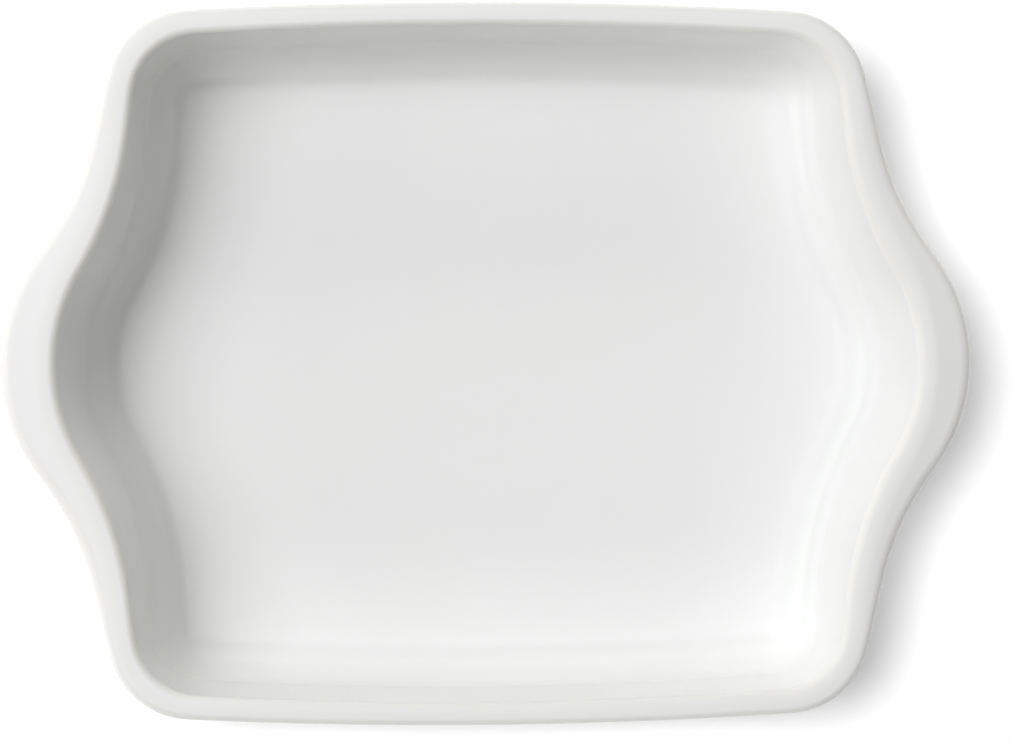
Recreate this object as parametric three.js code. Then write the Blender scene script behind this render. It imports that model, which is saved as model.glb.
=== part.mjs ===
// A rectangular ceramic baking dish, bowed out at both ends, with a crescent handle on each end.
// Millimetres, +Z up. The origin is on the table under the middle of the dish, and the long sides
// run along X. Sizes are those of the glazed dish, and the clay lies one glaze coat further in.

import * as THREE from "three";

// Overall sizes
const LENGTH = 330; // over both handles
const WIDTH = 245; // over the rim
const HEIGHT = 58; // from the table to the crown of the rim

// Wall and floor
const WALL = 6; // measured level
const FLOOR_THICKNESS = 7;
const SIDE_DRAFT = 3.9; // how far a long wall leans in from the mouth to the floor
const END_DRAFT = 9.8; // how far the middle of an end wall leans in
const DRAFT_SPREAD = 140; // distance from the middle of an end over which the extra lean dies out
const WELL_FILLET = 17; // between the floor and the inside wall
const FILLET_REST = 2.5; // least radius left at the foot of the fillet in a corner
const HEEL_RADIUS = 15; // between the outside wall and the underside

// Mouth of the well, which is the inner edge of the rim, in tangent arcs
const LOBE_RADIUS = 61.8; // the bulge at each end
const LOBE_STAND = 15.5; // how far the bulge stands out past the flanks beside it
const NECK_RADIUS = 121.7; // the hollow sweep from the bulge to the flank
const FLANK_TILT = 6.8; // degrees that a flank turns in towards its corner
const CORNER_RADIUS = 22.7;
const SIDE_BOW = 1500; // radius of the slight outward bow of a long side

// Outer edge of the rim and the handles, in tangent arcs of its own
const RIM_LOBE_RADIUS = 60.8;
const RIM_LOBE_STAND = 12.2;
const RIM_NECK_RADIUS = 100.5;
const RIM_FLANK_TILT = 13.9;
const RIM_CORNER_RADIUS = 28;
const RIM_SIDE_BOW = 1850;

// Rim and handles
const LIP_REACH = 1.4; // how far the lip stands out past the wall in the middle of a long side
const HANDLE_REACH = 12.3; // how far the middle of a handle stands out past the wall
const CROWN_INSET = 5; // from the mouth to the highest line of the rim
const RIM_OUTWARD_FALL = 8; // degrees that the rim falls from its crown outwards
const RIM_INWARD_FALL = 4; // degrees that the rim falls from its crown to the mouth
const LIP_FACE = 8; // height of the outer face of the lip and the handles
const LIP_UNDERCUT = 22; // degrees that the underside of the lip falls towards the wall
const MOUTH_EDGE = 3; // radius of the inner edge of the rim
const RIM_EDGE = 4.2; // radius of the upper outer edge
const LIP_EDGE = 3; // radius of the lower outer edge
const LIP_COVE = 6; // radius where the lip's underside runs into the wall

// Foot ring
const FOOT_HEIGHT = 3.5;
const FOOT_WIDTH = 6;
const FOOT_CORNER = 12; // radius of its corners in plan
const FOOT_EDGE = 1.2; // radius of the two edges that meet the table
const FOOT_MARGIN = 2; // flat underside left between the heel and the foot ring

// Glaze
const GLAZE = 0.5;
const GLAZE_STOP = 0.4; // bare clay left between a glaze coat and the foot ring

// Steps of the faceted surface
const LOBE_STEPS = 3;
const NECK_STEPS = 4;
const CORNER_STEPS = 6;
const SIDE_STEPS = 4;
const RIM_FINENESS = 16; // how many times finer the outer edge is drawn to measure the rim's width
const FILLET_STEPS = 4;
const EDGE_STEPS = 2;
const HEEL_STEPS = 3;

// Levels and places that follow from the sizes above
const UNDERSIDE = FOOT_HEIGHT - GLAZE;
const FLOOR = UNDERSIDE + FLOOR_THICKNESS;
const MOUTH_HALF_LENGTH = LENGTH / 2 - WALL - HANDLE_REACH;
const MOUTH_HALF_WIDTH = WIDTH / 2 - WALL - LIP_REACH;
const FOOT_INSET = HEEL_RADIUS - WALL + FOOT_MARGIN; // from the edge of the floor
const FOOT_HALF_LENGTH = MOUTH_HALF_LENGTH - END_DRAFT - FOOT_INSET;
const FOOT_HALF_WIDTH = MOUTH_HALF_WIDTH - SIDE_DRAFT - FOOT_INSET;
const LONGEST_FILLET_RUN = CORNER_RADIUS - SIDE_DRAFT - FILLET_REST;
const HANDLE_STEPS = LOBE_STEPS + NECK_STEPS; // sections from the middle of a handle to its tip

const slope = (degrees) => Math.tan(THREE.MathUtils.degToRad(degrees));

// 1 at the middle of an end, falling smoothly to 0 at the given distance from it.
function swell(distance, spread) {
  return (1 + Math.cos(Math.PI * Math.min(distance / spread, 1))) / 2;
}

// The point on the line from start, along direction, that lies at the given reach from centre.
function pointAtReach(start, direction, centre, reach) {
  const offset = start.clone().sub(centre);
  const along = offset.dot(direction);
  const step = Math.sqrt(along * along - offset.lengthSq() + reach * reach) - along;
  return start.clone().addScaledVector(direction, step);
}

// Stations on an arc after its first point. Side is 1 on a bulge and -1 on a hollow sweep.
function arcStations(centre, radius, from, to, steps, side) {
  return Array.from({ length: steps }, (_, k) => {
    const angle = from + ((to - from) * (k + 1)) / steps;
    const ray = new THREE.Vector2(Math.cos(angle), Math.sin(angle));
    const point = centre.clone().addScaledVector(ray, radius);
    return { point, normal: ray.multiplyScalar(side) };
  });
}

const MOUTH_PLAN = {
  lobeRadius: LOBE_RADIUS,
  lobeStand: LOBE_STAND,
  neckRadius: NECK_RADIUS,
  flankTilt: FLANK_TILT,
  cornerRadius: CORNER_RADIUS,
  sideBow: SIDE_BOW,
};
const RIM_PLAN = {
  lobeRadius: RIM_LOBE_RADIUS,
  lobeStand: RIM_LOBE_STAND,
  neckRadius: RIM_NECK_RADIUS,
  flankTilt: RIM_FLANK_TILT,
  cornerRadius: RIM_CORNER_RADIUS,
  sideBow: RIM_SIDE_BOW,
};

// A quarter of an outline from the middle of the end at +X to the middle of the side at +Y.
// Each station has a point and the outward normal there.
function quarterOutline(halfLength, halfWidth, plan, fineness = 1) {
  const { lobeRadius, lobeStand, neckRadius, cornerRadius, sideBow } = plan;
  const tilt = THREE.MathUtils.degToRad(plan.flankTilt);
  const outward = new THREE.Vector2(Math.cos(tilt), Math.sin(tilt));
  const alongFlank = new THREE.Vector2(-outward.y, outward.x);
  const flankStart = new THREE.Vector2(halfLength - lobeStand, 0);
  const lobeCentre = new THREE.Vector2(halfLength - lobeRadius, 0);
  const neckLine = flankStart.clone().addScaledVector(outward, neckRadius);
  const neckCentre = pointAtReach(neckLine, alongFlank, lobeCentre, lobeRadius + neckRadius);
  const sideCentre = new THREE.Vector2(0, halfWidth - sideBow);
  const cornerLine = flankStart.clone().addScaledVector(outward, -cornerRadius);
  const cornerCentre = pointAtReach(cornerLine, alongFlank, sideCentre, sideBow - cornerRadius);
  const lobeEnd = neckCentre.clone().sub(lobeCentre).angle();
  const cornerEnd = cornerCentre.clone().sub(sideCentre).angle();
  const halfTurn = Math.PI;
  return [
    { point: new THREE.Vector2(halfLength, 0), normal: new THREE.Vector2(1, 0) },
    ...arcStations(lobeCentre, lobeRadius, 0, lobeEnd, LOBE_STEPS * fineness, 1),
    ...arcStations(neckCentre, neckRadius, lobeEnd + halfTurn, tilt + halfTurn, NECK_STEPS * fineness, -1),
    { point: cornerCentre.clone().addScaledVector(outward, cornerRadius), normal: outward },
    ...arcStations(cornerCentre, cornerRadius, tilt, cornerEnd, CORNER_STEPS * fineness, 1),
    ...arcStations(sideCentre, sideBow, cornerEnd, halfTurn / 2, SIDE_STEPS * fineness, 1),
  ];
}

// The whole outline, anticlockwise from the middle of the end at +X.
function fullOutline(quarter) {
  const mirrored = (x, y) => {
    const sign = new THREE.Vector2(x, y);
    return quarter.map(({ point, normal }) => ({
      point: point.clone().multiply(sign),
      normal: normal.clone().multiply(sign),
    }));
  };
  return [
    ...mirrored(1, 1).slice(0, -1),
    ...mirrored(-1, 1).reverse().slice(0, -1),
    ...mirrored(-1, -1).slice(0, -1),
    ...mirrored(1, -1).reverse().slice(0, -1),
  ];
}

// A path of corners moved to its right by inset, each corner then rounded to its own radius.
// A corner that turns left is hollow, so its radius grows with the inset where others shrink.
// The end directions carry the path past its first and last corner.
function roundedPath(corners, startDirection, endDirection, inset) {
  const directions = corners.slice(1).map((next, k) => next.at.clone().sub(corners[k].at).normalize());
  const before = [startDirection, ...directions];
  const after = [...directions, endDirection];
  const leftOf = (direction) => new THREE.Vector2(-direction.y, direction.x);
  const moved = corners.map(({ at }, k) => {
    const mitre = leftOf(before[k]).add(leftOf(after[k]));
    const spread = 1 + before[k].dot(after[k]);
    return at.clone().addScaledVector(mitre, -inset / spread);
  });
  return corners.map(({ radius, steps, longestRun = Infinity }, k) => {
    const turn = Math.atan2(before[k].cross(after[k]), before[k].dot(after[k]));
    const half = Math.abs(turn) / 2;
    const wanted = Math.max(radius + Math.sign(turn) * inset, 0) * Math.tan(half);
    const spaceBefore = k > 0 ? moved[k].distanceTo(moved[k - 1]) / 2 : Infinity;
    const spaceAfter = k < moved.length - 1 ? moved[k].distanceTo(moved[k + 1]) / 2 : Infinity;
    const run = Math.min(wanted, spaceBefore, spaceAfter, longestRun);
    const start = moved[k].clone().addScaledVector(before[k], -run);
    const toCentre = leftOf(before[k]).multiplyScalar((Math.sign(turn) * run) / Math.tan(half));
    const centre = start.clone().add(toCentre);
    return Array.from({ length: steps + 1 }, (_, s) =>
      steps === 0 ? moved[k] : start.clone().rotateAround(centre, (turn * s) / steps),
    );
  });
}

// How far the rim's outer edge lies straight out from a place on the mouth. The edge runs
// anticlockwise, so it passes from the right of the way out to its left where they cross.
function rimWidthAt({ point, normal }) {
  const left = new THREE.Vector2(-normal.y, normal.x);
  const toLeft = ({ point: place }) => place.clone().sub(point).dot(left);
  const crossing = rimEdge.findIndex((end, k) => toLeft(rimEdge.at(k - 1)) < 0 && toLeft(end) >= 0);
  const start = rimEdge.at(crossing - 1);
  const end = rimEdge[crossing];
  const share = toLeft(start) / (toLeft(start) - toLeft(end));
  return start.point.clone().lerp(end.point, share).sub(point).dot(normal);
}

// How far the wall leans in at a place on the mouth.
function draftAt({ point }) {
  return SIDE_DRAFT + (END_DRAFT - SIDE_DRAFT) * swell(Math.abs(point.y), DRAFT_SPREAD);
}

// Corners of the dish's section in order: up the inside, over the rim and down the outside.
// X is measured outwards from the mouth, and Y is the height above the table.
function sectionCorners(station) {
  const rimWidth = rimWidthAt(station);
  const draft = draftAt(station);
  const corner = (x, y, radius, steps, longestRun) => ({
    at: new THREE.Vector2(x, y),
    radius,
    steps,
    longestRun,
  });
  const lean = draft / (HEIGHT - FLOOR);
  const outsideWallAt = (height) => WALL - lean * (HEIGHT - height);
  const crown = Math.min(CROWN_INSET, rimWidth / 2);
  const mouthHeight = HEIGHT - crown * slope(RIM_INWARD_FALL);
  const rimHeight = HEIGHT - (rimWidth - crown) * slope(RIM_OUTWARD_FALL);
  const lipHeight = rimHeight - LIP_FACE;
  const undercut = slope(LIP_UNDERCUT);
  const drop = undercut * (rimWidth - outsideWallAt(lipHeight));
  const rootHeight = lipHeight - drop / (1 - undercut * lean);
  return [
    corner(-draft, FLOOR, WELL_FILLET, FILLET_STEPS, LONGEST_FILLET_RUN),
    corner(0, mouthHeight, MOUTH_EDGE, EDGE_STEPS),
    corner(crown, HEIGHT, 0, 0),
    corner(rimWidth, rimHeight, RIM_EDGE, EDGE_STEPS),
    corner(rimWidth, lipHeight, LIP_EDGE, EDGE_STEPS),
    corner(outsideWallAt(rootHeight), rootHeight, LIP_COVE, EDGE_STEPS),
    corner(outsideWallAt(UNDERSIDE), UNDERSIDE, HEEL_RADIUS, HEEL_STEPS),
  ];
}

const OUTWARDS = new THREE.Vector2(1, 0);
const INWARDS = new THREE.Vector2(-1, 0);
const onOutline = ({ point, normal }, x, height) =>
  new THREE.Vector3(point.x + normal.x * x, point.y + normal.y * x, height);

// One section's points on the surface that lies inset inside the glazed one, in named runs.
function surfaceSection(k, inset) {
  const station = mouth[k];
  const arcs = roundedPath(sectionCorners(station), OUTWARDS, INWARDS, inset).map((arc) =>
    arc.map(({ x, y }) => onOutline(station, x, y)),
  );
  const [fillet, mouthEdge, crown, rimEdge, lipEdge, lipCove, heel] = arcs;
  const underside = UNDERSIDE + inset;
  return {
    inside: [new THREE.Vector3(0, 0, FLOOR - inset), ...fillet, ...mouthEdge, ...crown],
    lip: [...crown, ...rimEdge, ...lipEdge, ...lipCove],
    heel: [...heel, onOutline(footOuter[k], GLAZE_STOP, underside)],
    underside: [
      onOutline(footInner[k], -GLAZE_STOP, underside),
      new THREE.Vector3(0, 0, underside),
    ],
  };
}

// The straight seam under a handle: as many points as the lip has, from the crown to the cove.
function handleSeam({ lip }) {
  const last = lip.length - 1;
  return lip.map((_, k) => lip[0].clone().lerp(lip[last], k / last));
}

const isFlat = ([a, b, c]) => a.equals(b) || b.equals(c) || c.equals(a);

// A closed skin through a ring of lines with equal numbers of points. Each quad is split along its
// shorter diagonal, so two skins that share their lines meet face to face.
function skin(lines) {
  const triangles = lines.flatMap((line, k) => {
    const next = lines[(k + 1) % lines.length];
    return line.slice(1).flatMap((end, j) => {
      const start = line[j];
      const nextStart = next[j];
      const nextEnd = next[j + 1];
      return start.distanceToSquared(nextEnd) <= end.distanceToSquared(nextStart)
        ? [[start, end, nextEnd], [start, nextEnd, nextStart]]
        : [[start, end, nextStart], [end, nextEnd, nextStart]];
    });
  });
  const corners = triangles.filter((triangle) => !isFlat(triangle)).flat();
  const geometry = new THREE.BufferGeometry().setFromPoints(corners);
  geometry.computeVertexNormals();
  return geometry;
}

// The loop round a coat's section: along its face and back along its clay side.
const coatLoop = (face, back) => [...face, ...back.toReversed(), face[0]];

function clayMesh(name, geometry) {
  const material = new THREE.MeshStandardMaterial({ color: 0xddd3c2, roughness: 0.9, metalness: 0 });
  const mesh = new THREE.Mesh(geometry, material);
  mesh.name = name;
  return mesh;
}

function glazeMesh(name, geometry) {
  const material = new THREE.MeshStandardMaterial({ color: 0xf4f4f1, roughness: 0.15, metalness: 0 });
  const mesh = new THREE.Mesh(geometry, material);
  mesh.name = name;
  return mesh;
}

const rimEdge = fullOutline(quarterOutline(LENGTH / 2, WIDTH / 2, RIM_PLAN, RIM_FINENESS));
const mouth = fullOutline(quarterOutline(MOUTH_HALF_LENGTH, MOUTH_HALF_WIDTH, MOUTH_PLAN));
const footOutline = (inset) =>
  fullOutline(
    quarterOutline(FOOT_HALF_LENGTH - inset, FOOT_HALF_WIDTH - inset, {
      ...MOUTH_PLAN,
      cornerRadius: FOOT_CORNER - inset,
    }),
  );
const footOuter = footOutline(0);
const footInner = footOutline(FOOT_WIDTH);
const sections = mouth.map((_, k) => {
  const clay = surfaceSection(k, GLAZE);
  return { face: surfaceSection(k, 0), clay, seam: handleSeam(clay) };
});

// Sections from one tip of a handle to the other, given the section at its middle.
function handleSections(middle) {
  const count = 2 * HANDLE_STEPS + 1;
  return Array.from({ length: count }, (_, k) => {
    const place = middle - HANDLE_STEPS + k;
    return sections[(place + sections.length) % sections.length];
  });
}

const rightHandle = handleSections(0);
const leftHandle = handleSections(sections.length / 2);

// Floor, wall and lip. Behind a handle the wall is plain, with a step at each of the handle's tips.
function dishBody() {
  const whole = ({ clay }, outer) => [
    ...clay.inside,
    ...outer.slice(1),
    ...clay.heel,
    ...clay.underside,
  ];
  const lines = sections.flatMap((section) => {
    const handle = [rightHandle, leftHandle].find((list) => list.includes(section));
    const plain = whole(section, section.seam);
    const lipped = whole(section, section.clay.lip);
    if (!handle) return [lipped];
    if (section === handle[0]) return [lipped, plain];
    if (section === handle.at(-1)) return [plain, lipped];
    return [plain];
  });
  return clayMesh("dish_body", skin(lines));
}

// A crescent between the lip's surface and the plain wall behind it.
function handle(name, list) {
  const outside = list.map(({ clay }) => clay.lip);
  const behind = list.map(({ seam }) => seam).reverse();
  return clayMesh(name, skin([...outside, ...behind]));
}

// The bare ring of clay that the dish stands on.
function footRing() {
  const lines = mouth.map((_, k) => {
    const outer = onOutline(footOuter[k], 0, FOOT_HEIGHT);
    const inner = onOutline(footInner[k], 0, FOOT_HEIGHT);
    const lowerEdge = (station, side, step) => {
      const angle = (Math.PI / 2) * (step / EDGE_STEPS);
      const x = side * FOOT_EDGE * (Math.cos(angle) - 1);
      return onOutline(station, x, FOOT_EDGE * (1 - Math.sin(angle)));
    };
    const steps = Array.from({ length: EDGE_STEPS + 1 }, (_, step) => step);
    const outerEdge = steps.map((step) => lowerEdge(footOuter[k], 1, step));
    const innerEdge = steps.map((step) => lowerEdge(footInner[k], -1, step)).reverse();
    return [outer, ...outerEdge, ...innerEdge, inner, outer];
  });
  return clayMesh("foot_ring", skin(lines));
}

function glazeCoat(name, run) {
  const lines = sections.map(({ face, clay }) => coatLoop(run(face), run(clay)));
  return glazeMesh(name, skin(lines));
}

const dish = new THREE.Group();
dish.name = "baking_dish";
dish.add(
  dishBody(),
  handle("right_handle", rightHandle),
  handle("left_handle", leftHandle),
  footRing(),
  glazeCoat("inside_glaze", (surface) => surface.inside),
  glazeCoat("outside_glaze", (surface) => [...surface.lip, ...surface.heel]),
  glazeCoat("underside_glaze", (surface) => surface.underside),
);

export default dish;
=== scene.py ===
"""A glazed stoneware baking dish: its glaze coats, its bare foot and a plain studio stage."""

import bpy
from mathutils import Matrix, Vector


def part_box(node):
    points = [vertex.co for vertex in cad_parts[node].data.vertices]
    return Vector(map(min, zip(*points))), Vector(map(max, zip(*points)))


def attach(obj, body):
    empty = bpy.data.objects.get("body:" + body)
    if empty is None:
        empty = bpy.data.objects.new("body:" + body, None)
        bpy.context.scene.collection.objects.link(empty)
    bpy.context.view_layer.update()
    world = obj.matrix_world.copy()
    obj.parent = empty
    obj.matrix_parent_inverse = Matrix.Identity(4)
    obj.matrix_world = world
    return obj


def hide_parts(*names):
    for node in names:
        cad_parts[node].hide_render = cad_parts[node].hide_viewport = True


bl_info = {
    "name": "Stoneware Baking Dish",
    "version": (1, 0, 0),
    "blender": (4, 5, 0),
    "location": "View3D > Sidebar > Baking Dish",
    "description": "Models the glaze and the foot of a handled baking dish round its clay body",
    "category": "Add Mesh",
}

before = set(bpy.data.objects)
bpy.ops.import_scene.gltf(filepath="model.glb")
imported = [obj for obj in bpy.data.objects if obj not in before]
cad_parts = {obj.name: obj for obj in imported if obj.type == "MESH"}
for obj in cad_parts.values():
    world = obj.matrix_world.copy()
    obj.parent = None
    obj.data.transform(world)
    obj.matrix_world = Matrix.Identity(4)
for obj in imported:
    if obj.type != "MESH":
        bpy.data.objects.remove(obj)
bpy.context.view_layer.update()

from collections import namedtuple
from math import atan2, cos, inf, pi, radians, sin, sqrt, tan

import bmesh
import bpy
from bpy.props import FloatProperty, FloatVectorProperty, PointerProperty
from mathutils import Matrix, Vector

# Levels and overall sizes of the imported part, in metres
OUTSIDE_LOW, OUTSIDE_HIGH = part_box("outside_glaze")
INSIDE_LOW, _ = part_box("inside_glaze")
PATCH_LOW, PATCH_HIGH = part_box("underside_glaze")
_, FOOT_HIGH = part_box("foot_ring")
GLAZE = PATCH_HIGH.z - PATCH_LOW.z
HEIGHT = OUTSIDE_HIGH.z
UNDERSIDE = OUTSIDE_LOW.z
FLOOR = INSIDE_LOW.z + GLAZE
HALF_LENGTH = OUTSIDE_HIGH.x
HALF_WIDTH = OUTSIDE_HIGH.y
FOOT_HEIGHT = FOOT_HIGH.z


def length(name, description, default):
    return FloatProperty(name=name, description=description, default=default, unit="LENGTH", precision=4)


def angle(name, description, degrees):
    return FloatProperty(name=name, description=description, default=radians(degrees), subtype="ANGLE")


def amount(name, description, default):
    return FloatProperty(name=name, description=description, default=default, min=0)


def fraction(name, description, default):
    return FloatProperty(
        name=name, description=description, default=default, min=0, max=1, subtype="FACTOR"
    )


def power(name, description, watts):
    return FloatProperty(name=name, description=description, default=watts, min=0, unit="POWER")


def colour(name, description, default):
    return FloatVectorProperty(
        name=name, description=description, default=default, size=3, subtype="COLOR", min=0, max=1
    )


class DishShape(bpy.types.PropertyGroup):
    """Sizes of the glazed dish, as the clay part has them."""

    wall: length("Wall", "Thickness of the wall, measured level", 0.006)
    side_draft: length("Side draft", "How far a long wall leans in from the mouth to the floor", 0.0039)
    end_draft: length("End draft", "How far the middle of an end wall leans in", 0.0098)
    draft_spread: length("Draft spread", "Distance over which the extra lean of an end dies out", 0.140)
    well_fillet: length("Well fillet", "Radius between the floor and the inside wall", 0.017)
    heel_radius: length("Heel", "Radius between the outside wall and the underside", 0.015)
    lobe_radius: length("Lobe", "Radius of the bulge at each end of the mouth", 0.0618)
    lobe_stand: length("Lobe stand", "How far the bulge stands out past its flanks", 0.0155)
    neck_radius: length("Neck", "Radius of the hollow sweep beside the bulge", 0.1217)
    flank_tilt: angle("Flank tilt", "How far a flank turns in towards its corner", 6.8)
    corner_radius: length("Corner", "Radius of the mouth's corners", 0.0227)
    side_bow: length("Side bow", "Radius of the slight bow of a long side", 1.5)
    rim_lobe_radius: length("Rim lobe", "Radius of the rim's outer edge over a handle", 0.0608)
    rim_lobe_stand: length("Rim lobe stand", "How far a handle stands out past its flanks", 0.0122)
    rim_neck_radius: length("Rim neck", "Radius of the outer edge's hollow sweep", 0.1005)
    rim_flank_tilt: angle("Rim flank tilt", "How far the outer edge turns in along a flank", 13.9)
    rim_corner_radius: length("Rim corner", "Radius of the outer edge's corners", 0.028)
    rim_side_bow: length("Rim side bow", "Radius of the outer edge's bow on a long side", 1.85)
    lip_reach: length("Lip", "How far the lip stands out past the wall on a long side", 0.0014)
    handle_reach: length("Handle", "How far a handle stands out past the wall", 0.0123)
    crown_inset: length("Crown inset", "From the mouth to the highest line of the rim", 0.005)
    rim_outward_fall: angle("Outward fall", "Fall of the rim from its crown outwards", 8)
    rim_inward_fall: angle("Inward fall", "Fall of the rim from its crown to the mouth", 4)
    lip_face: length("Lip face", "Height of the outer face of the lip and the handles", 0.008)
    lip_undercut: angle("Undercut", "Fall of the lip's underside towards the wall", 22)
    mouth_edge: length("Mouth edge", "Radius of the inner edge of the rim", 0.003)
    crown_radius: length("Crown", "Radius that rounds the top of the rim", 0.040)
    rim_edge: length("Rim edge", "Radius of the upper outer edge", 0.0042)
    lip_edge: length("Lip edge", "Radius of the lower outer edge", 0.003)
    lip_cove: length("Lip cove", "Radius where the lip's underside runs into the wall", 0.006)
    foot_width: length("Foot width", "Width of the bare foot ring", 0.006)
    foot_corner: length("Foot corner", "Radius of the foot ring's corners", 0.012)
    foot_edge: length("Foot edge", "Radius of the edges that meet the table", 0.0012)
    glaze_stop: length("Glaze stop", "Bare clay left between the glaze and the foot ring", 0.0004)


class DishLook(bpy.types.PropertyGroup):
    """Colours and gloss of the glaze and the clay."""

    glaze_colour: colour("Glaze", "White of the glaze", (0.89, 0.89, 0.886))
    glaze_thin: colour("Thin glaze", "White where the glaze is thin over an edge", (0.87, 0.86, 0.83))
    glaze_pool: colour("Glaze pool", "White where the glaze lies thick", (0.86, 0.87, 0.86))
    glaze_roughness: fraction("Glaze roughness", "Roughness of the glaze", 0.1)
    glaze_ior: amount("Glaze IOR", "Refraction of the glaze", 1.6)
    clay_colour: colour("Clay", "Bare fired clay", (0.62, 0.54, 0.43))
    clay_speck: colour("Speck", "Specks in the bare clay", (0.33, 0.25, 0.18))


class DishStage(bpy.types.PropertyGroup):
    """Camera, lights and floor."""

    camera_height: length("Camera height", "Height of the camera over the table", 1.258)
    camera_side: length("Camera side", "How far the camera stands to the left", 0.067)
    camera_nod: angle("Camera nod", "Turn of the camera about the dish's length", -0.0985)
    camera_swing: angle("Camera swing", "Turn of the camera about the dish's width", -3.45)
    camera_roll: angle("Camera roll", "Turn of the camera about the upright", -0.26)
    camera_lens: FloatProperty(
        name="Camera lens", description="Focal length", default=126.35, unit="CAMERA"
    )
    window_power: power("Windows", "Power of the soft boxes at the left", 134)
    card_power: power("Cards", "Power of the white cards all round", 110)
    sheen_power: power("Sheen", "Power of the lights that the gloss shows", 28)
    shadow_strength: amount("Shadow", "Strength of the floor's slanting light", 2.25)
    floor_strength: amount("Floor", "Strength of the floor's upright light", 1.28)
    backdrop_strength: amount("Backdrop", "Brightness of the pale backdrop", 0.6)


def shape():
    return bpy.context.scene.dish_shape


def look():
    return bpy.context.scene.dish_look


# Outlines in plan: tangent arcs, mirrored from one quarter

LOBE_STEPS = 14
NECK_STEPS = 18
FLANK_STEPS = 6
CORNER_STEPS = 16
SIDE_STEPS = 28
RIM_FINENESS = 8  # how many times finer the outer edge is drawn to measure the rim's width

Plan = namedtuple("Plan", "lobe stand neck tilt corner bow")  # the mouth's or the rim's arcs


def ray(turn):
    return Vector((cos(turn), sin(turn)))


def swell(distance, spread):
    """1 at the middle of an end, falling smoothly to 0 at the given distance from it."""
    return (1 + cos(pi * min(distance / spread, 1))) / 2


def point_at_reach(start, direction, centre, reach):
    """The point on a line from start that lies at the given reach from centre."""
    offset = start - centre
    along = offset.dot(direction)
    return start + direction * (sqrt(along**2 - offset.length_squared + reach**2) - along)


def arc_stations(centre, radius, first, last, steps, side):
    """Points and outward normals on an arc, without its first point."""
    turns = [first + (last - first) * (k + 1) / steps for k in range(steps)]
    return [(centre + ray(turn) * radius, ray(turn) * side) for turn in turns]


def quarter_outline(half_length, half_width, plan, fineness):
    """Stations from the middle of the end at +X to the middle of the side at +Y."""
    outward = ray(plan.tilt)
    along = Vector((-outward.y, outward.x))
    flank = Vector((half_length - plan.stand, 0))
    lobe = Vector((half_length - plan.lobe, 0))
    neck = point_at_reach(flank + outward * plan.neck, along, lobe, plan.lobe + plan.neck)
    side = Vector((0, half_width - plan.bow))
    corner = point_at_reach(flank - outward * plan.corner, along, side, plan.bow - plan.corner)
    lobe_end = atan2(neck.y - lobe.y, neck.x - lobe.x)
    corner_end = atan2(corner.y - side.y, corner.x - side.x)
    hollow = (lobe_end + pi, plan.tilt + pi)
    neck_stations = arc_stations(neck, plan.neck, *hollow, NECK_STEPS * fineness, -1)
    flank_start = neck_stations[-1][0]
    flank_end = corner + outward * plan.corner
    flank_points = [flank_start.lerp(flank_end, (k + 1) / FLANK_STEPS) for k in range(FLANK_STEPS)]
    return [
        (Vector((half_length, 0)), Vector((1, 0))),
        *arc_stations(lobe, plan.lobe, 0, lobe_end, LOBE_STEPS * fineness, 1),
        *neck_stations,
        *[(point, outward) for point in flank_points],
        *arc_stations(corner, plan.corner, plan.tilt, corner_end, CORNER_STEPS * fineness, 1),
        *arc_stations(side, plan.bow, corner_end, pi / 2, SIDE_STEPS * fineness, 1),
    ]


def full_outline(half_length, half_width, plan, fineness=1):
    """The whole outline, anticlockwise from the middle of the end at +X."""
    quarter = quarter_outline(half_length, half_width, plan, fineness)

    def mirrored(x, y):
        signs = Vector((x, y))
        return [(point * signs, normal * signs) for point, normal in quarter]

    return [
        *mirrored(1, 1)[:-1],
        *mirrored(-1, 1)[:0:-1],
        *mirrored(-1, -1)[:-1],
        *mirrored(1, -1)[:0:-1],
    ]


def mouth_plan(corner_radius):
    sizes = shape()
    return Plan(
        sizes.lobe_radius,
        sizes.lobe_stand,
        sizes.neck_radius,
        sizes.flank_tilt,
        corner_radius,
        sizes.side_bow,
    )


def rim_plan():
    sizes = shape()
    return Plan(
        sizes.rim_lobe_radius,
        sizes.rim_lobe_stand,
        sizes.rim_neck_radius,
        sizes.rim_flank_tilt,
        sizes.rim_corner_radius,
        sizes.rim_side_bow,
    )


def straight_out(station, edge):
    """How far an anticlockwise edge lies from a station, along its normal."""
    point, normal = station
    left = Vector((-normal.y, normal.x))
    offsets = [place - point for place in edge]
    for start, end in zip([offsets[-1], *offsets], offsets):
        before = start.dot(left)
        after = end.dot(left)
        if before < 0 <= after:
            return start.lerp(end, before / (before - after)).dot(normal)
    raise ValueError("The rim's outer edge does not pass in front of the mouth")


def mouth_stations():
    """Places of the sections: a point on the mouth, the way out and the rim's width there."""
    sizes = shape()
    half_length = HALF_LENGTH - sizes.wall - sizes.handle_reach
    half_width = HALF_WIDTH - sizes.wall - sizes.lip_reach
    edge = [point for point, _ in full_outline(HALF_LENGTH, HALF_WIDTH, rim_plan(), RIM_FINENESS)]
    mouth = full_outline(half_length, half_width, mouth_plan(sizes.corner_radius))
    return [(*station, straight_out(station, edge)) for station in mouth]


def foot_outlines():
    """The outer and the inner edge of the foot ring."""
    width = shape().foot_width
    corner = shape().foot_corner
    outer = full_outline(FOOT_HIGH.x, FOOT_HIGH.y, mouth_plan(corner))
    inner = full_outline(FOOT_HIGH.x - width, FOOT_HIGH.y - width, mouth_plan(corner - width))
    return outer, inner


def on_outline(station, out, height):
    place = station[0] + station[1] * out
    return Vector((place.x, place.y, height))


# Section of the dish: corners with radii, rounded in the same way as the clay's

LONGEST_RUN = 0.47  # share of a straight stretch that the rounding at either end may take

Corner = namedtuple("Corner", "x y radius steps")


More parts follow.
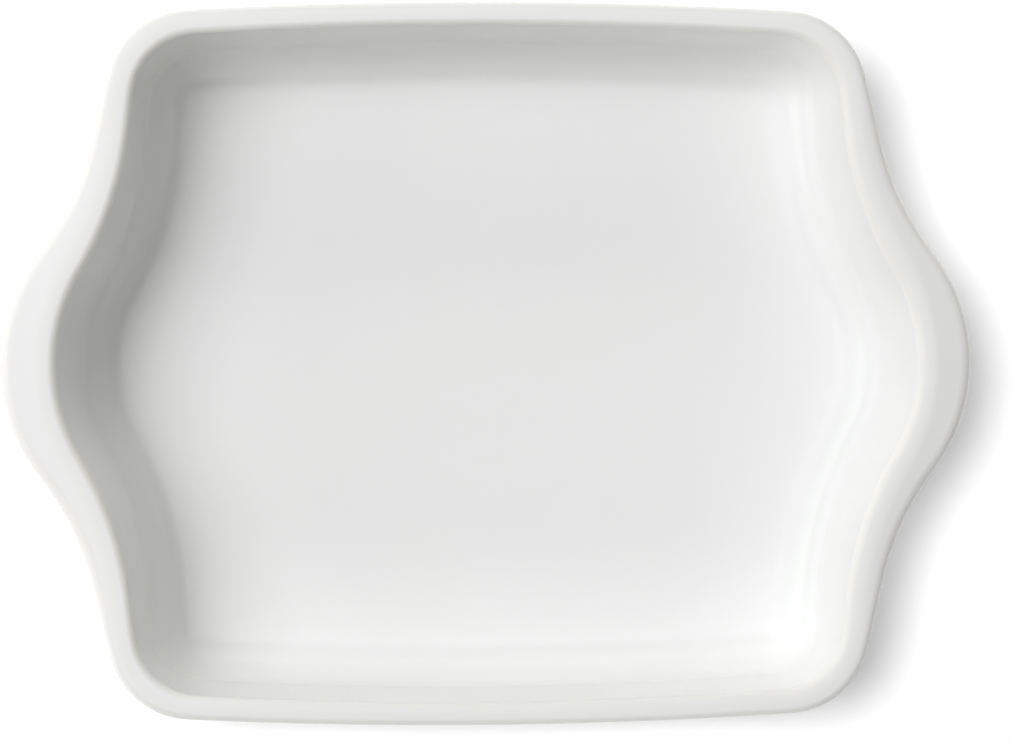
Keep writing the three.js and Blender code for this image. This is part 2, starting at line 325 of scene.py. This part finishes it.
def rounded_path(corners, start_direction, end_direction):
    """Arcs of points, one round each corner of the path."""
    places = [Vector((corner.x, corner.y)) for corner in corners]
    stretches = [end - start for start, end in zip(places, places[1:])]
    directions = [stretch.normalized() for stretch in stretches]
    before = [start_direction, *directions]
    after = [*directions, end_direction]
    gaps = [inf, *[stretch.length * LONGEST_RUN for stretch in stretches], inf]
    arcs = []
    for k, corner in enumerate(corners):
        turn = atan2(before[k].cross(after[k]), before[k].dot(after[k]))
        half = abs(turn) / 2
        run = min(corner.radius * tan(half), gaps[k], gaps[k + 1])
        start = places[k] - before[k] * run
        side = 1 if turn > 0 else -1
        centre = start + Vector((-before[k].y, before[k].x)) * side * run / tan(half)
        spoke = start - centre
        swings = [turn * step / corner.steps for step in range(corner.steps + 1)]
        arcs.append([centre + Matrix.Rotation(swing, 2) @ spoke for swing in swings])
    return arcs


def section_arcs(station):
    """Arcs up the inside, over the rim and down the outside. X is measured outwards from the mouth."""
    sizes = shape()
    point, _, rim_width = station
    extra_draft = (sizes.end_draft - sizes.side_draft) * swell(abs(point.y), sizes.draft_spread)
    draft = sizes.side_draft + extra_draft
    lean = draft / (HEIGHT - FLOOR)
    crown = min(sizes.crown_inset, rim_width / 2)
    mouth_height = HEIGHT - crown * tan(sizes.rim_inward_fall)
    rim_height = HEIGHT - (rim_width - crown) * tan(sizes.rim_outward_fall)
    lip_height = rim_height - sizes.lip_face

    def outside_wall(height):
        return sizes.wall - lean * (HEIGHT - height)

    undercut = tan(sizes.lip_undercut)
    drop = undercut * (rim_width - outside_wall(lip_height))
    root_height = lip_height - drop / (1 - undercut * lean)
    corners = [
        Corner(-draft, FLOOR, sizes.well_fillet, steps=12),
        Corner(0, mouth_height, sizes.mouth_edge, steps=6),
        Corner(crown, HEIGHT, sizes.crown_radius, steps=4),
        Corner(rim_width, rim_height, sizes.rim_edge, steps=8),
        Corner(rim_width, lip_height, sizes.lip_edge, steps=6),
        Corner(outside_wall(root_height), root_height, sizes.lip_cove, steps=6),
        Corner(outside_wall(UNDERSIDE), UNDERSIDE, sizes.heel_radius, steps=10),
    ]
    return rounded_path(corners, Vector((1, 0)), Vector((-1, 0)))


def eased(start, end, steps):
    """Points between two places, closer together near both, so a flat stays even beside a rounding."""
    shares = [(1 - cos(pi * k / steps)) / 2 for k in range(1, steps)]
    return [start.lerp(end, share) for share in shares]


FLOOR_STEPS = 8  # steps from the middle of the floor to the section's first rounding
FLAT_STEPS = (12, 4, 6, 4, 4, 12)  # steps from one rounding of the section to the next
ARC_POOLING = (1, -1, -0.3, -1, -0.8, 1, 0)  # molten glaze gathers in a hollow and thins on an edge


def coat_section(station, foot_station):
    """Points of the continuous glaze coat from the floor, over the rim, down to the foot."""
    arcs = [[on_outline(station, *place) for place in arc] for arc in section_arcs(station)]
    points = eased(Vector((0, 0, FLOOR)), arcs[0][0], FLOOR_STEPS)
    for arc, next_arc, steps in zip(arcs, arcs[1:], FLAT_STEPS):
        points += arc + eased(arc[-1], next_arc[0], steps)
    stop = on_outline(foot_station, shape().glaze_stop, UNDERSIDE)
    return points + arcs[-1] + [stop]


def coat_pooling(station):
    """How the glaze has gathered at each point of the coat's section, from -1 thin to 1 thick."""
    pooling = [0.0] * (FLOOR_STEPS - 1)
    flats = [*(steps - 1 for steps in FLAT_STEPS), 1]  # points after each arc, the last at the foot
    for arc, gathered, flat in zip(section_arcs(station), ARC_POOLING, flats):
        pooling += [gathered * sin(pi * k / (len(arc) - 1)) for k in range(len(arc))]
        pooling += [0.0] * flat
    return pooling


# Modelling: rings extruded one after the other in edit mode

STATION = "station"
POOLING = "pooling"
MERGE_DISTANCE = 1e-6
SMOOTH_ANGLE = radians(50)  # edges that turn less are shaded smooth


def start_ring(name, points):
    """A ring of edges through the points, in edit mode, with each vertex knowing its station."""
    bpy.ops.object.select_all(action="DESELECT")
    bpy.ops.mesh.primitive_circle_add(vertices=len(points), radius=HALF_WIDTH, fill_type="NOTHING")
    piece = bpy.context.object
    piece.name = name
    piece.data.name = name
    bpy.ops.object.mode_set(mode="EDIT")
    mesh = bmesh.from_edit_mesh(piece.data)
    mesh.verts.layers.float.new(POOLING)
    layer = mesh.verts.layers.int.new(STATION)
    mesh.verts.ensure_lookup_table()
    for k, vertex in enumerate(mesh.verts):
        vertex[layer] = k
        vertex.co = points[k]
    bmesh.update_edit_mesh(piece.data)
    return piece


def extrude_ring(piece, points, pooling=0.0):
    """Extrudes the selected ring and moves the new one to the points."""
    bpy.ops.mesh.extrude_edges_move()
    mesh = bmesh.from_edit_mesh(piece.data)
    layer = mesh.verts.layers.int[STATION]
    pooled = mesh.verts.layers.float[POOLING]
    for vertex in mesh.verts:
        if vertex.select:
            vertex.co = points[vertex[layer]]
            vertex[pooled] = pooling
    bmesh.update_edit_mesh(piece.data)


def close_to_centre():
    """Draws the selected ring in to one point at its middle."""
    bpy.ops.mesh.extrude_edges_move()
    bpy.ops.mesh.merge(type="CENTER")


def select_open_edge(piece):
    """Selects the ring of edges where the surface ends."""
    bpy.ops.mesh.select_all(action="DESELECT")
    mesh = bmesh.from_edit_mesh(piece.data)
    for edge in mesh.edges:
        edge.select_set(edge.is_boundary)
    bmesh.update_edit_mesh(piece.data)


def settle_mesh():
    """Merges doubles, turns the faces outwards and leaves edit mode."""
    bpy.ops.mesh.select_all(action="SELECT")
    bpy.ops.mesh.remove_doubles(threshold=MERGE_DISTANCE)
    bpy.ops.mesh.normals_make_consistent(inside=False)
    bpy.ops.object.mode_set(mode="OBJECT")


def apply_modifier(piece, kind, **settings):
    modifier = piece.modifiers.new(kind.title(), kind)
    for name, value in settings.items():
        setattr(modifier, name, value)
    bpy.ops.object.modifier_apply(modifier=modifier.name)


def dress(piece, material, slot, *nodes):
    """Gives a finished piece its material and its body, and hides the nodes that it stands for."""
    bpy.ops.object.shade_smooth_by_angle(angle=SMOOTH_ANGLE)
    piece.data.attributes.remove(piece.data.attributes[STATION])
    piece.data.materials.clear()
    piece.data.materials.append(material)
    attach(piece, "root")
    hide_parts(*nodes)


# Materials

MATT = 0.9  # roughness of the bare clay and the floor
FLOOR_WHITE = (0.92, 0.92, 0.92, 1)


def new_material(name):
    material = bpy.data.materials.new(name)
    material.use_nodes = True
    return material, material.node_tree.nodes["Principled BSDF"]


def noise(tree, scale, detail):
    """Noise in the piece's own space."""
    place = tree.nodes.new("ShaderNodeTexCoord")
    texture = tree.nodes.new("ShaderNodeTexNoise")
    texture.inputs["Scale"].default_value = scale
    texture.inputs["Detail"].default_value = detail
    tree.links.new(place.outputs["Object"], texture.inputs["Vector"])
    return texture.outputs["Fac"]


def multiply_add(tree, value, factor, addend):
    """Value times factor plus addend, which may be a number or another node's output."""
    node = tree.nodes.new("ShaderNodeMath")
    node.operation = "MULTIPLY_ADD"
    node.inputs[1].default_value = factor
    tree.links.new(value, node.inputs[0])
    if isinstance(addend, float):
        node.inputs[2].default_value = addend
    else:
        tree.links.new(addend, node.inputs[2])
    return node.outputs["Value"]


def ramp(tree, value, stops):
    """Colours between (position, colour) stops, the lowest first."""
    node = tree.nodes.new("ShaderNodeValToRGB")
    elements = node.color_ramp.elements
    elements.remove(elements[1])
    elements[0].position = stops[0][0]
    elements[0].color = (*stops[0][1], 1)
    for position, tone in stops[1:]:
        elements.new(position).color = (*tone, 1)
    tree.links.new(value, node.inputs["Fac"])
    return node.outputs["Color"]


def bump(tree, height, depth, strength):
    node = tree.nodes.new("ShaderNodeBump")
    node.inputs["Strength"].default_value = strength
    node.inputs["Distance"].default_value = depth
    tree.links.new(height, node.inputs["Height"])
    return node.outputs["Normal"]


def white_glaze():
    """White gloss glaze: warm where it is thin on the edges, cooler where it has gathered."""
    material, shader = new_material("white_glaze")
    tree = material.node_tree
    shader.inputs["IOR"].default_value = look().glaze_ior
    pooling = tree.nodes.new("ShaderNodeAttribute")
    pooling.attribute_name = POOLING
    # The cloud moves the tone a little either way of the middle stop, and pooling moves it further
    cloud = noise(tree, scale=14, detail=3)
    uneven = multiply_add(tree, cloud, factor=0.3, addend=0.35)
    depth = multiply_add(tree, pooling.outputs["Fac"], factor=0.4, addend=uneven)
    stops = ((0.0, look().glaze_thin), (0.5, look().glaze_colour), (1.0, look().glaze_pool))
    tree.links.new(ramp(tree, depth, stops), shader.inputs["Base Color"])
    # The roughness varies by a fifth either way
    gloss = look().glaze_roughness
    dulled = multiply_add(tree, cloud, factor=gloss * 0.4, addend=gloss * 0.8)
    tree.links.new(dulled, shader.inputs["Roughness"])
    orange_peel = bump(tree, noise(tree, scale=160, detail=2), depth=0.00006, strength=0.25)
    tree.links.new(orange_peel, shader.inputs["Normal"])
    return material


def bare_clay():
    """Unglazed fired clay with fine grain and a few darker specks."""
    material, shader = new_material("bare_clay")
    tree = material.node_tree
    grain = noise(tree, scale=900, detail=6)
    stops = ((0.28, look().clay_speck), (0.45, look().clay_colour))
    tree.links.new(ramp(tree, grain, stops), shader.inputs["Base Color"])
    shader.inputs["Roughness"].default_value = MATT
    tree.links.new(bump(tree, grain, depth=0.0002, strength=0.5), shader.inputs["Normal"])
    return material


def studio_white():
    """Plain matt white of the floor."""
    material, shader = new_material("studio_white")
    shader.inputs["Base Color"].default_value = FLOOR_WHITE
    shader.inputs["Roughness"].default_value = MATT
    return material


def material_named(name, maker):
    return bpy.data.materials.get(name) or maker()


class DISH_OT_glaze_coat(bpy.types.Operator):
    """Model the glaze over the well, the rim, the handles and the outside wall"""

    bl_idname = "dish.glaze_coat"
    bl_label = "Glaze Coat"

    def execute(self, context):
        stations = mouth_stations()
        foot_outer, _ = foot_outlines()
        rings = list(zip(*[coat_section(*pair) for pair in zip(stations, foot_outer)]))
        piece = start_ring("glaze_coat", rings[0])
        close_to_centre()
        select_open_edge(piece)
        for ring, pooling in zip(rings[1:], coat_pooling(stations[0])[1:]):
            extrude_ring(piece, ring, pooling)
        settle_mesh()
        apply_modifier(piece, "SOLIDIFY", thickness=GLAZE, offset=-1, use_even_offset=True)
        glaze = material_named("white_glaze", white_glaze)
        dress(piece, glaze, "glaze", "inside_glaze", "outside_glaze")
        return {"FINISHED"}


PATCH_RINGS = (0.25, 0.5, 0.75)  # shares of the way from the patch's edge to its middle


class DISH_OT_underside_patch(bpy.types.Operator):
    """Model the patch of glaze under the floor, inside the foot ring"""

    bl_idname = "dish.underside_patch"
    bl_label = "Underside Patch"

    def execute(self, context):
        _, foot_inner = foot_outlines()
        edge = [on_outline(station, -shape().glaze_stop, UNDERSIDE) for station in foot_inner]
        piece = start_ring("underside_patch", edge)
        middle = Vector((0, 0, UNDERSIDE))
        for share in PATCH_RINGS:
            extrude_ring(piece, [point.lerp(middle, share) for point in edge])
        close_to_centre()
        settle_mesh()
        apply_modifier(piece, "SOLIDIFY", thickness=GLAZE, offset=1)
        dress(piece, material_named("white_glaze", white_glaze), "glaze", "underside_glaze")
        return {"FINISHED"}


FOOT_EDGE_STEPS = 5


class DISH_OT_foot_ring(bpy.types.Operator):
    """Model the bare ring of clay that the dish stands on"""

    bl_idname = "dish.foot_ring"
    bl_label = "Foot Ring"

    def execute(self, context):
        edge = shape().foot_edge
        turns = [pi / 2 * step / FOOT_EDGE_STEPS for step in range(FOOT_EDGE_STEPS + 1)]
        rounding = [(edge * (1 - cos(turn)), edge * (1 - sin(turn))) for turn in turns]

        def section(outer, inner):
            outer_edge = [on_outline(outer, -inset, height) for inset, height in rounding]
            inner_edge = [on_outline(inner, inset, height) for inset, height in rounding]
            return [
                on_outline(outer, 0, FOOT_HEIGHT),
                *outer_edge,
                *inner_edge[::-1],
                on_outline(inner, 0, FOOT_HEIGHT),
                on_outline(outer, 0, FOOT_HEIGHT),
            ]

        rings = list(zip(*[section(outer, inner) for outer, inner in zip(*foot_outlines())]))
        piece = start_ring("foot_ring_clay", rings[0])
        for ring in rings[1:]:
            extrude_ring(piece, ring)
        settle_mesh()
        dress(piece, material_named("bare_clay", bare_clay), "clay", "foot_ring")
        return {"FINISHED"}


class DISH_OT_clay_finish(bpy.types.Operator):
    """Give the clay under the glaze its bare fired finish"""

    bl_idname = "dish.clay_finish"
    bl_label = "Clay Finish"

    def execute(self, context):
        clay = material_named("bare_clay", bare_clay)
        for node in ("dish_body", "left_handle", "right_handle"):
            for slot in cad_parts[node].material_slots:
                slot.material = clay
        return {"FINISHED"}


# Stage

STAND = 4  # metres from the dish to each light
FLOOR_SIZE = 40  # metres
SENSOR_WIDTH = 36  # millimetres
BACKDROP_EDGE = (0.57, 0.71)  # sines of the elevations between which the backdrop fades to black
WARM_WHITE = (1, 0.995, 0.955)
COOL_WHITE = (0.985, 0.988, 1)
PLAIN_WHITE = (1, 1, 1)
BLACK = (0, 0, 0)
SHADOW_TILT = radians(20.5)
SHADOW_BEARING = radians(163)
SHADOW_SOFTNESS = radians(20.5)

# Soft lights on the dish: tilt and bearing in degrees, width and height in metres, share of the power
SoftBox = namedtuple("SoftBox", "name tilt bearing size share")
WINDOWS = (
    SoftBox("window_left", 38, 171, (1.8, 2.0), 0.49),
    SoftBox("window_top", 23, 146, (2.6, 2.2), 0.43),
    SoftBox("window_back", 48, 125, (2.6, 2.2), 0.08),
)
CARDS = (
    SoftBox("card_right", 62, 0, (3.0, 1.4), 0.16),
    SoftBox("card_front", 62, 260, (3.0, 1.4), 0.25),
    SoftBox("card_back", 69, 86, (3.0, 1.4), 0.4),
    SoftBox("card_left", 70, 180, (3.0, 1.4), 0.19),
)
SHEENS = (
    SoftBox("sheen_left", 72, 165, (3.4, 1.8), 0.32),
    SoftBox("sheen_top", 0, 0, (3.2, 3.2), 0.68),
)


def overhead(tilt, bearing):
    """A direction from the dish. Tilt is from straight above, bearing from +X."""
    turn = ray(bearing)
    return Vector((sin(tilt) * turn.x, sin(tilt) * turn.y, cos(tilt)))


def lights_only(light, pieces):
    """Makes a light fall on the given objects alone."""
    group = bpy.data.collections.new("lit_by_" + light.name)
    for piece in pieces:
        group.objects.link(piece)
    light.light_linking.receiver_collection = group


def studio_light(name, kind, direction, pieces):
    """A light on a stand, turned to the dish, that falls on the given objects alone."""
    bpy.ops.object.light_add(type=kind, location=direction * STAND)
    light = bpy.context.object
    light.name = name
    light.visible_camera = False
    light.rotation_mode = "QUATERNION"
    light.rotation_quaternion = (-direction).to_track_quat("-Z", "Y")
    lights_only(light, pieces)
    return light


def light_rig(boxes, watts, tone, pieces, gloss=False):
    """Soft boxes that act on the gloss of the finish alone, or on the white under it alone."""
    for box in boxes:
        direction = overhead(radians(box.tilt), radians(box.bearing))
        light = studio_light(box.name, "AREA", direction, pieces)
        light.visible_glossy = gloss
        light.visible_diffuse = not gloss
        light.data.shape = "RECTANGLE"
        light.data.size, light.data.size_y = box.size
        light.data.energy = watts * box.share
        light.data.color = tone


def floor_light(name, tilt, strength, floor):
    """An even light on the floor alone, with a soft shadow."""
    light = studio_light(name, "SUN", overhead(tilt, SHADOW_BEARING), [floor])
    light.data.energy = strength
    light.data.angle = SHADOW_SOFTNESS


def studio_floor():
    bpy.ops.object.select_all(action="DESELECT")
    bpy.ops.mesh.primitive_plane_add(size=FLOOR_SIZE)
    floor = bpy.context.object
    floor.name = "studio_floor"
    floor.data.materials.append(studio_white())
    return floor


def backdrop(strength):
    """A pale band round the horizon, which the camera and the gloss see, and which lights nothing."""
    world = bpy.data.worlds.new("studio_air")
    world.use_nodes = True
    world.cycles_visibility.diffuse = False
    tree = world.node_tree
    air = tree.nodes["Background"]
    air.inputs["Strength"].default_value = strength
    place = tree.nodes.new("ShaderNodeTexCoord")
    parts = tree.nodes.new("ShaderNodeSeparateXYZ")
    tree.links.new(place.outputs["Generated"], parts.inputs["Vector"])
    fade_start, fade_end = BACKDROP_EDGE
    stops = ((fade_start, WARM_WHITE), (fade_end, BLACK))
    tree.links.new(ramp(tree, parts.outputs["Z"], stops), air.inputs["Color"])
    return world


def photo_camera(stage):
    bpy.ops.object.camera_add()
    camera = bpy.context.object
    camera.name = "photo_camera"
    camera.data.sensor_width = SENSOR_WIDTH
    camera.data.lens = stage.camera_lens
    camera.location = (-stage.camera_side, 0, stage.camera_height)
    camera.rotation_euler = (stage.camera_nod, stage.camera_swing, stage.camera_roll)
    return camera


class DISH_OT_stage(bpy.types.Operator):
    """Set up the floor, the lights and the camera over the dish"""

    bl_idname = "dish.stage"
    bl_label = "Stage"

    def execute(self, context):
        scene = context.scene
        stage = scene.dish_stage
        scene.view_settings.view_transform = "Standard"
        dish = [item for item in scene.objects if item.type == "MESH"]
        floor = studio_floor()
        scene.world = backdrop(stage.backdrop_strength)
        light_rig(WINDOWS, stage.window_power, COOL_WHITE, dish)
        light_rig(CARDS, stage.card_power, WARM_WHITE, dish)
        light_rig(SHEENS, stage.sheen_power, PLAIN_WHITE, dish, gloss=True)
        floor_light("shadow_light", SHADOW_TILT, stage.shadow_strength, floor)
        floor_light("floor_light", 0, stage.floor_strength, floor)
        scene.camera = photo_camera(stage)
        return {"FINISHED"}


OPERATORS = (
    DISH_OT_glaze_coat,
    DISH_OT_underside_patch,
    DISH_OT_foot_ring,
    DISH_OT_clay_finish,
    DISH_OT_stage,
)


class DISH_PT_panel(bpy.types.Panel):
    """Sizes, finishes and steps of the baking dish"""

    bl_label = "Baking Dish"
    bl_idname = "DISH_PT_panel"
    bl_space_type = "VIEW_3D"
    bl_region_type = "UI"
    bl_category = "Baking Dish"

    def draw(self, context):
        for operator in OPERATORS:
            self.layout.operator(operator.bl_idname)
        for group in (context.scene.dish_shape, context.scene.dish_look, context.scene.dish_stage):
            box = self.layout.box()
            for name in group.__annotations__:
                box.prop(group, name)


GROUPS = {"dish_shape": DishShape, "dish_look": DishLook, "dish_stage": DishStage}


def register():
    for cls in (*GROUPS.values(), *OPERATORS, DISH_PT_panel):
        bpy.utils.register_class(cls)
    for name, group in GROUPS.items():
        setattr(bpy.types.Scene, name, PointerProperty(type=group))


def unregister():
    for name in GROUPS:
        delattr(bpy.types.Scene, name)
    for cls in (DISH_PT_panel, *OPERATORS, *GROUPS.values()):
        bpy.utils.unregister_class(cls)


def main():
    register()
    bpy.ops.dish.glaze_coat()
    bpy.ops.dish.underside_patch()
    bpy.ops.dish.foot_ring()
    bpy.ops.dish.clay_finish()
    bpy.ops.dish.stage()


if __name__ == "__main__":
    main()
